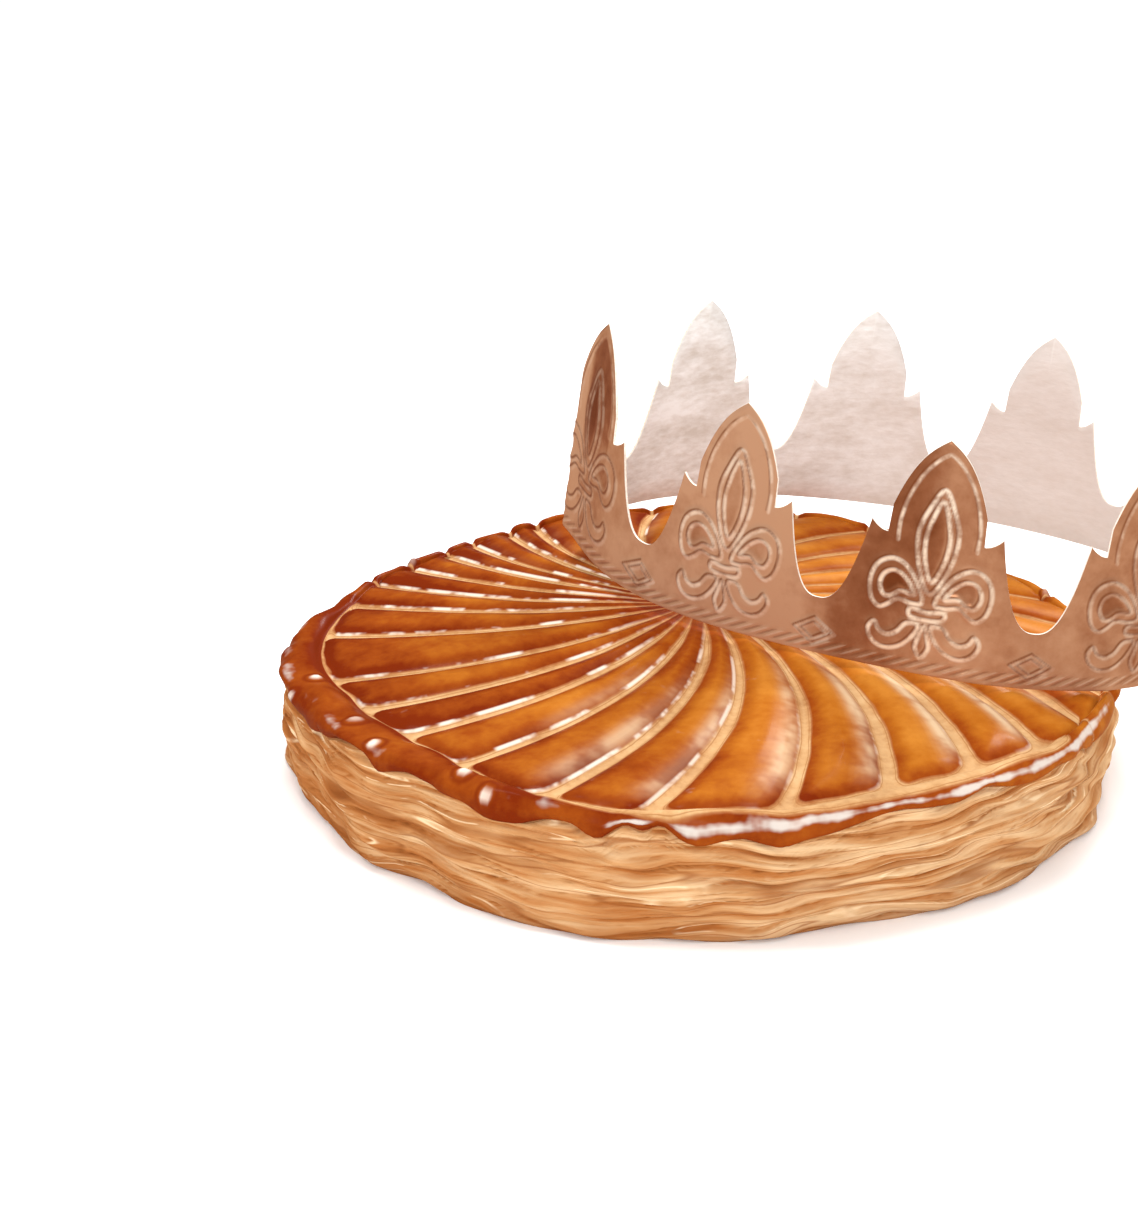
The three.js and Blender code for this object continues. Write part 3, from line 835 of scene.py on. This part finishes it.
def build_crown():
    """Rows run up the face of the card, over its cut edge, down its back and round below."""
    face = [(k / (FACE_ROWS - 1), 1.0, 0) for k in range(FACE_ROWS)]
    face[0], face[-1] = (0, 1.0, 1), (1, 1.0, -1)
    back = [(1 - k / (BACK_ROWS - 1), -1.0, 0) for k in range(BACK_ROWS)]
    back[0], back[-1] = (1, -1.0, -1), (0, -1.0, 1)
    section = face + [(1, 0.5, 0), (1, -0.5, 0)] + back + [(0, -0.5, 0), (0, 0.5, 0)]
    share_up, side, chamfer = (np.array(values, dtype=float) for values in zip(*section))
    profile = [
        (CROWN_RADIUS + s * CARD, u * PEAK_HEIGHT + c) for u, s, c in zip(share_up, side, chamfer)
    ]
    crown = spun_blank("paper_crown", profile, CROWN_COLUMNS, closed=True)
    row, column = rows_and_columns(crown, CROWN_COLUMNS)
    column_angle, column_place, column_extra = crown_columns()
    seat = crown_seat()
    ahead, behind = (
        np.column_stack(polar(crown_radius(column_angle + step), column_angle + step))
        for step in (0.01, -0.01)
    )
    along = ahead - behind
    along /= np.linalg.norm(along, axis=1)[:, None]
    plan = polar(crown_radius(column_angle), column_angle)
    column_foot = lower_edge(np.column_stack([*plan, np.zeros(CROWN_COLUMNS)]), column_angle, seat)
    column_height = card_height(column_place, column_extra)

    angle, place, height = column_angle[column], column_place[column], column_height[column]
    up = up_the_card(share_up[row], height) + chamfer[row] * EDGE_CHAMFER
    on_face = side[row] == 1.0
    stretch = (PEAK_HEIGHT + column_extra[column]) / PEAK_HEIGHT
    relief, outline, rope, hollow, field = emboss(place * PITCH, up / stretch)
    # The outlines moved aside and up, where the painted highlight lines go
    lit_outline = emboss(place * PITCH - LIT_SIDE[0], up / stretch - LIT_SIDE[1])[1]
    clear_of_edge = smooth(height - up, *UPPER_MARGIN) * smooth(up, *LOWER_MARGIN)
    amount, size = BUCKLE
    buckle = amount * lumps(np.column_stack([*polar(CROWN_RADIUS, angle), up]), size, 11)
    buckle = buckle * smooth(up, *BUCKLE_HEIGHTS)
    offset = side[row] * CARD / 2 + np.where(on_face, relief * clear_of_edge, 0) + buckle
    px, py = polar(crown_radius(angle) - CROWN_LEAN * up, angle)
    local = np.column_stack([
        px + along[column, 1] * offset, py - along[column, 0] * offset, column_foot[column] + up,
    ])
    set_points(crown, *seat(local).T)
    peak = np.repeat(np.arange(len(PEAK_WIDTHS)), COLUMNS_A_PEAK)[column]
    amount, low, fall = LOW_BRIGHTER
    # The foil's brightness: painted light and shade round the crown, lighter low down, painted shade
    # inside the shaded shapes, and darker inside the first peak's border
    bright = look_up(TARNISH, peak + place) + amount * smooth(low - up, 0, fall)
    bright = bright - HOLLOW_DARKER * hollow
    bright -= FIELD_DARKER * field * (peak == 0) * smooth(up, *FIELD_HEIGHTS)
    near_edge = 3 * (1 - clear_of_edge)
    set_attributes(
        crown, outline_mm=np.where(on_face, outline + near_edge, FAR),
        lit_outline_mm=np.where(on_face, lit_outline + near_edge, FAR),
        rope=np.where(on_face, rope * clear_of_edge, 0), brightness=bright,
        card_grey=look_up(CARD_GREY, peak + place), glinting=look_up(GLINTS, peak + place),
    )
    face_rows = set(range(FACE_ROWS))
    back_rows = set(range(FACE_ROWS + 2, FACE_ROWS + 2 + BACK_ROWS))
    under_rows = {len(section) - 2, len(section) - 1}
    slots = []
    for polygon in crown.data.polygons:
        rows = {int(row[v]) for v in polygon.vertices}
        slots.append(0 if rows <= face_rows or rows & under_rows else 1 if rows <= back_rows else 2)
    finish_skin(crown)
    return crown, slots


# ---- materials

def tint(*channels):
    """A colour as a painter's 0 to 255 values, made linear."""
    shares = (channel / 255 for channel in channels)
    return (*(((s + 0.055) / 1.055) ** 2.4 if s > 0.04 else s / 12.92 for s in shares), 1)


# The colours of the finishes, as they look in plain white light
GLAZE_DARK = tint(114, 36, 6)
GLAZE_BROWN = tint(145, 66, 15)
GLAZE_AMBER = tint(172, 97, 26)
GLAZE_GOLD = tint(195, 123, 44)
GLAZE_GLINT = tint(248, 236, 220)
GLAZE_GLARE = tint(222, 218, 208)
GLAZE_SHEEN = tint(224, 197, 160)
CRUST_BROWN = tint(158, 104, 60)
CRUST_TAN = tint(194, 147, 98)
CRUST_PALE = tint(214, 177, 130)
# Painted shadow in the lines between the side's leaves
LEAF_LINE = tint(146, 84, 40)
LEAF_DARK = tint(140, 76, 32)
LEAF_BROWN = tint(172, 107, 56)
LEAF_TAN = tint(192, 139, 90)
LEAF_CREAM = tint(219, 181, 137)
# Painted highlight on the tips of the side's leaves
LEAF_TIP = tint(240, 210, 168)
FOIL_DARK = tint(116, 62, 34)
FOIL_DEEP = tint(148, 94, 64)
FOIL_COPPER = tint(178, 128, 96)
FOIL_LIGHT = tint(198, 152, 120)
# The embossing's dark lines, also painted shade in the rope's grooves; and its painted glints
FOIL_LINE = tint(118, 66, 38)
FOIL_GLINT = tint(246, 226, 204)
CARD_SHADE = tint(206, 198, 190)
CARD_WHITE = tint(240, 239, 238)
# Painted shade on the backs of some peaks
CARD_GREYED = tint(202, 188, 180)
EDGE_SHADE = tint(224, 206, 186)
EDGE_CREAM = tint(246, 236, 224)
FLOOR_WHITE = (0.97, 0.97, 0.97, 1)
FLOOR_IN_GLOSS = (0.4, 0.3, 0.2, 1)


def operator(kind):
    return lambda first, second=0.0: first.nodes.math(kind, first, second)


class Value:
    """A number that changes over the surface. Sums and products of it add their own nodes."""

    def __init__(self, nodes, socket):
        self.nodes = nodes
        self.socket = socket

    def __rsub__(self, other):
        return self.nodes.math("SUBTRACT", other, self)

    __add__ = operator("ADD")
    __sub__ = operator("SUBTRACT")
    __mul__ = __rmul__ = operator("MULTIPLY")
    __abs__ = operator("ABSOLUTE")
    or_more = operator("MAXIMUM")


class Nodes:
    """Short words for adding and joining a node tree's nodes."""

    def __init__(self, tree):
        self.tree = tree

    def __getitem__(self, name):
        """An attribute of the mesh."""
        node = self.add("Attribute", attribute_name=name)
        return Value(self, node.outputs["Fac"])

    def feed(self, node, inputs):
        """Joins inputs, by name or in order, to a node."""
        for key, value in inputs.items() if isinstance(inputs, dict) else enumerate(inputs):
            value = getattr(value, "socket", value)
            if isinstance(value, bpy.types.NodeSocket):
                self.tree.links.new(value, node.inputs[key])
            else:
                node.inputs[key].default_value = value

    def add(self, kind, inputs=(), **settings):
        node = self.tree.nodes.new("ShaderNode" + kind)
        for key, value in settings.items():
            setattr(node, key, value)
        self.feed(node, inputs)
        return node

    def group(self, tree, inputs):
        """The outputs of a node group."""
        node = self.add("Group", inputs, node_tree=tree)
        return [Value(self, socket) for socket in node.outputs]

    def math(self, kind, first, second):
        return Value(self, self.add("Math", (first, second), operation=kind).outputs[0])

    def smooth(self, value, low, high, to_low=0, to_high=1):
        inputs = (value, low, high, to_low, to_high)
        node = self.add("MapRange", inputs, interpolation_type="SMOOTHSTEP")
        return Value(self, node.outputs[0])

    def line(self, value, full, faded, strength=1):
        """A line where the value is nought, full up to one distance and faded out at another."""
        return self.smooth(abs(value), full, faded, strength, 0)

    def paint(self, colour, *coats):
        """A colour with others laid over it: (share, colour)."""
        for share, over in coats:
            inputs = {0: share, 6: colour, 7: over}
            colour = self.add("Mix", inputs, data_type="RGBA").outputs[2]
        return colour

    def ramp(self, value, *stops):
        node = self.add("ValToRGB", (value,))
        elements = node.color_ramp.elements
        while len(elements) < len(stops):
            elements.new(0.5)
        for element, (place, colour) in zip(elements, stops):
            element.position = place
            element.color = colour
        return node.outputs["Color"]

    def bump(self, height, strength, distance):
        inputs = {"Height": height, "Strength": strength, "Distance": distance}
        return self.add("Bump", inputs).outputs[0]

    def noise(self, vector, scale, detail, roughness):
        inputs = {"Vector": vector, "Scale": scale, "Detail": detail, "Roughness": roughness}
        return self.add("TexNoise", inputs).outputs["Fac"]

    def place(self):
        return self.add("TexCoord").outputs["Object"]


def new_group(name, inputs, outputs):
    group = bpy.data.node_groups.new(name, "ShaderNodeTree")
    for label, value in inputs.items():
        socket = group.interface.new_socket(label, in_out="INPUT", socket_type="NodeSocketFloat")
        socket.default_value = value
    for label in outputs:
        group.interface.new_socket(label, in_out="OUTPUT", socket_type="NodeSocketFloat")
    given, put = (group.nodes.new(kind) for kind in ("NodeGroupInput", "NodeGroupOutput"))
    return group, Nodes(group), given.outputs, put


def make_clouding():
    """Cloudy unevenness at two scales, as in baked glaze, foil and paper pulp. A scale is the
    number of clouds to a metre."""
    scales = {"Coarse": 60, "Fine": 400, "Flatness": 1}
    group, nodes, given, put = new_group("clouding", scales, ("Clouds", "Grain"))
    stretch = nodes.add("CombineXYZ", (1, 1, given["Flatness"])).outputs[0]
    flat = nodes.add("VectorMath", (nodes.place(), stretch), operation="MULTIPLY")
    sizes = (given["Coarse"], given["Fine"])
    nodes.feed(put, [nodes.noise(flat.outputs[0], size, 3, 0.6) for size in sizes])
    return group


def make_strata():
    """Streaks that follow the leaves of the side, long round the rim and thin up it."""
    # (name, scale along the leaves, scale across them, detail)
    patterns = (("Streaks", 22, 1.1, 2), ("Lines", 14, 1.5, 0), ("Threads", 70, 4.5, 2))
    group, nodes, given, put = new_group("pastry_leaves", {"Level": 0}, [p[0] for p in patterns])
    x, y, _ = nodes.add("SeparateXYZ", (nodes.place(),)).outputs
    for label, along, across, detail in patterns:
        scaled = ((x, along), (y, along), (given["Level"], across))
        spot = nodes.add("CombineXYZ", [nodes.math("MULTIPLY", *pair) for pair in scaled])
        nodes.feed(put, {label: nodes.noise(spot.outputs[0], 1, detail, 0.55)})
    return group


def new_material(name):
    material = bpy.data.materials.new(name)
    material.use_nodes = True
    return material, Nodes(material.node_tree), material.node_tree.nodes["Principled BSDF"]


def baked_pastry(clouding, strata):
    material, nodes, shader = new_material("glazed_puff_pastry")
    glaze_mm, side, darker = nodes["glaze_mm"], nodes["side_of_cake"], nodes["baked_darker"]
    patches, grain = nodes.group(clouding, (55, 420))
    dashes, _ = nodes.group(clouding, (75, 300))
    streaks, lines, threads = nodes.group(strata, (nodes["leaf_level"],))
    glazed = nodes.smooth(glaze_mm + 1.2 * (patches - 0.5), -0.3, 0.45)

    # Glaze, browned unevenly: darker at the petals' edges and near the pole, with painted shade on one
    # side
    browning = (0.55 * patches + 0.05 * nodes["petal_tone"] + 0.15 + 0.16 * grain
                - 0.16 * nodes["toward_rim"] + nodes.smooth(glaze_mm, 0, 6, -0.14, 0.06)
                - 0.14 * darker)
    glaze_colour = nodes.ramp(
        browning, (0.16, GLAZE_DARK), (0.34, GLAZE_BROWN), (0.52, GLAZE_AMBER), (0.72, GLAZE_GOLD),
    )

    # Bare crust in the scores, palest in their middle and scratched with brown
    crumb = 0.6 * patches + 0.4 * grain
    crust_colour = nodes.paint(
        nodes.ramp(crumb, (0.3, CRUST_BROWN), (0.5, CRUST_TAN), (0.72, CRUST_PALE)),
        (nodes.smooth(glaze_mm, -1.7, -0.5, 0.3, 0), CRUST_PALE),
        (nodes.line(glaze_mm + 0.6 + 1.6 * (patches - 0.5), 0.03, 0.22, 0.65), CRUST_BROWN),
    )

    # The leaves of the side, with painted shade in their gaps and as dark lines between them, painted
    # highlights on their tips, a dark foot and painted shade on one side
    baked = 0.75 * streaks + 0.3 * threads - 0.3 * nodes["leaf_gap"] - 0.07 * darker
    above_floor = nodes.add("SeparateXYZ", (nodes.place(),)).outputs["Z"]
    leaf_colour = nodes.paint(
        nodes.ramp(
            baked, (0.14, LEAF_DARK), (0.36, LEAF_BROWN), (0.5, LEAF_TAN), (0.68, LEAF_CREAM),
        ),
        (nodes.line(lines - 0.5, 0, 0.035, 0.65), LEAF_LINE),
        (nodes.line(lines - 0.62, 0, 0.03, 0.9) * nodes.smooth(patches, 0.47, 0.57), LEAF_TIP),
        (nodes.smooth(above_floor, 0, 0.005, 0.6, 0), LEAF_DARK),
    )

    # Painted highlights on the glaze: a sheen on the petals, glare on the band, glints on lips and
    # blisters
    on_glaze = nodes.smooth(glaze_mm, -1, 0.3)
    sheen = nodes["sheen"] * nodes.smooth(patches, 0.36, 0.6, 0.2, 0.8) * on_glaze
    glare = nodes.smooth(nodes["glare"] + 2.2 * (dashes - 0.5), 0.4, 1, 0, 0.72)
    # Painted highlight: broken white strokes along the petals' lips
    lit = nodes["lit_edge"] * nodes.smooth(dashes, 0.46, 0.6)
    lip = nodes.line(glaze_mm - 0.05, 0.1, 0.8) * lit
    blister = nodes["blister"]
    # Painted highlight: a glint in the middle of each blister
    glint = nodes.smooth(blister, 0.15, 0.7, 1, 0) * nodes["blister_glint"]
    colour = nodes.paint(
        nodes.paint(crust_colour, (side, leaf_colour)),
        (glazed, glaze_colour),
        (nodes.line(glaze_mm, 0, 0.5, 0.45), GLAZE_BROWN),
        # Painted shade: a dark ring round each blister
        (nodes.line(blister - 0.95, 0, 0.4, 0.75), GLAZE_DARK),
        (sheen, GLAZE_SHEEN),
        (glare * on_glaze, GLAZE_GLARE),
        (glint.or_more(0.8 * lip), GLAZE_GLINT),
    )
    shine = glazed * nodes.smooth(patches, 0.3, 0.7, 0.07, 0.14)
    shine = shine * nodes.smooth(nodes["inside_crown"], 0, 1, 1, 0.2) * (1 - sheen)
    rough_leaves = (threads + streaks) * (1 - glazed) * side
    nodes.feed(shader, {
        "Base Color": colour,
        "Roughness": nodes.smooth(glazed, 0, 1, 0.6, 0.35),
        "Specular IOR Level": 0.01,
        "Coat Weight": shine,
        "Coat Roughness": 0.18,
        "Coat IOR": 1.24,
        "Normal": nodes.bump(rough_leaves + 0.05 * grain, 0.5, 0.0012),
    })
    return material


def copper_foil(clouding):
    material, nodes, shader = new_material("embossed_copper_foil")
    patches, grain = nodes.group(clouding, (26, 170))
    rope = nodes["rope"]
    # Painted light and shade on the foil, from its brightness attribute and clouds
    bright = 0.7 * patches + 0.6 * nodes["brightness"] + 0.5 * (grain - 0.5)
    line = nodes.smooth(nodes["outline_mm"], 0.1, 0.75, 0.8, 0)
    # Painted highlight lines beside the embossing, broken up and stronger on some peaks
    lit = 1 - nodes.smooth(nodes["lit_outline_mm"], 0.1, 1.1)
    lit = lit * nodes.smooth(grain, 0.38, 0.6, 0.3, 1) * nodes["glinting"]
    nodes.feed(shader, {
        "Base Color": nodes.paint(
            nodes.ramp(
                bright, (0.1, FOIL_DARK), (0.4, FOIL_DEEP), (0.65, FOIL_COPPER), (0.9, FOIL_LIGHT),
            ),
            # Dark outlines, and painted shade in the rope's grooves; painted glints beside the outlines
            # and on the strands
            (line.or_more(nodes.smooth(rope, -0.9, -0.2, 0.4, 0)), FOIL_LINE),
            (lit.or_more(nodes.smooth(rope, 0.3, 0.9, 0, 0.2)), FOIL_GLINT),
        ),
        "Metallic": 0.4,
        "Specular IOR Level": 0.03,
        "Specular Tint": FOIL_COPPER,
        "Roughness": nodes.smooth(patches, 0.3, 0.7, 0.4, 0.28),
        "Normal": nodes.bump(grain, 0.25, 0.0004),
    })
    return material


def plain_card(clouding):
    material, nodes, shader = new_material("bare_card_back")
    patches, grain = nodes.group(clouding, (40, 230, 2.5))
    pulp = 0.6 * patches + 0.4 * grain
    colour = nodes.ramp(pulp, (0.36, CARD_SHADE), (0.62, CARD_WHITE))
    nodes.feed(shader, {
        # Painted shade on the backs of some peaks
        "Base Color": nodes.paint(colour, (nodes["card_grey"], CARD_GREYED)),
        "Roughness": 0.7,
        "Normal": nodes.bump(pulp, 0.4, 0.001),
    })
    return material


def cut_edge(clouding):
    material, nodes, shader = new_material("cut_card_edge")
    _, grain = nodes.group(clouding, (60, 1200))
    colour = nodes.ramp(grain, (0.3, EDGE_SHADE), (0.7, EDGE_CREAM))
    nodes.feed(shader, {"Base Color": colour, "Roughness": 0.5})
    return material


# ---- floor, lights, camera

FLOOR_SIZE = 30
# Strength of the white tent around the scene, and what polished things see of it
TENT = 1.04
TENT_IN_GLOSS = 0.045
# (name, place, aim, width, height, watts), in metres
LAMPS = [
    ("window_behind", (0.47, 0.98, 0.82), (0, 0, 0.03), 0.55, 0.22, 12),
    ("lamp_above", (-0.15, 0, 1.25), (0, 0, 0.03), 0.24, 0.4, 6.8),
    ("fill_in_front", (-0.25, -1.5, 0.75), (0.05, 0, 0.05), 0.5, 0.3, 8.2),
]
CAMERA_PLACE = (-0.04185, -0.70012, 0.30914)
CAMERA_DOWN = 20.451
LENS = 71.08
SENSOR = 36


def make_stage():
    start()
    bpy.ops.mesh.primitive_plane_add(size=FLOOR_SIZE, location=(0, 0, 0))
    floor = bpy.context.object
    floor.name = "floor"
    material, nodes, shader = new_material("pale_floor")
    polished = nodes.add("LightPath").outputs["Is Glossy Ray"]
    colour = nodes.paint(FLOOR_WHITE, (polished, FLOOR_IN_GLOSS))
    nodes.feed(shader, {"Base Color": colour, "Roughness": 0.9, "Specular IOR Level": 0})
    floor.data.materials.append(material)

    # Polished things see the tent as a dim one, so that only the lamps glint in them
    world = bpy.data.worlds.new("studio")
    world.use_nodes = True
    nodes = Nodes(world.node_tree)
    polished = nodes.add("LightPath").outputs["Is Glossy Ray"]
    strength = nodes.smooth(polished, 0, 1, TENT, TENT_IN_GLOSS)
    background = world.node_tree.nodes["Background"]
    nodes.feed(background, {"Color": (1, 1, 1, 1), "Strength": strength})
    bpy.context.scene.world = world
    bpy.context.scene.view_settings.view_transform = "Standard"


def make_lights():
    for name, place, aim, width, height, watts in LAMPS:
        bpy.ops.object.light_add(type="AREA", location=place)
        lamp = bpy.context.object
        lamp.name = name
        lamp.rotation_euler = (Vector(aim) - Vector(place)).to_track_quat("-Z", "Y").to_euler()
        lamp.data.shape = "RECTANGLE"
        lamp.data.size = width
        lamp.data.size_y = height
        lamp.data.energy = watts


def make_camera():
    tilt = math.radians(90 - CAMERA_DOWN)
    bpy.ops.object.camera_add(location=CAMERA_PLACE, rotation=(tilt, 0, 0))
    camera = bpy.context.object
    camera.data.sensor_width = SENSOR
    camera.data.lens = LENS
    camera.data.clip_start = 0.01
    bpy.context.scene.camera = camera


# ---- putting it together

clouding = make_clouding()

pastry = build_pastry()
pastry.data.materials.append(baked_pastry(clouding, make_strata()))
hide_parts("galette")
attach(pastry, "root")

crown, crown_slots = build_crown()
for material in (copper_foil(clouding), plain_card(clouding), cut_edge(clouding)):
    crown.data.materials.append(material)
crown.data.polygons.foreach_set("material_index", crown_slots)
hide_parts("crown")
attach(crown, "root")

make_stage()
make_lights()
make_camera()
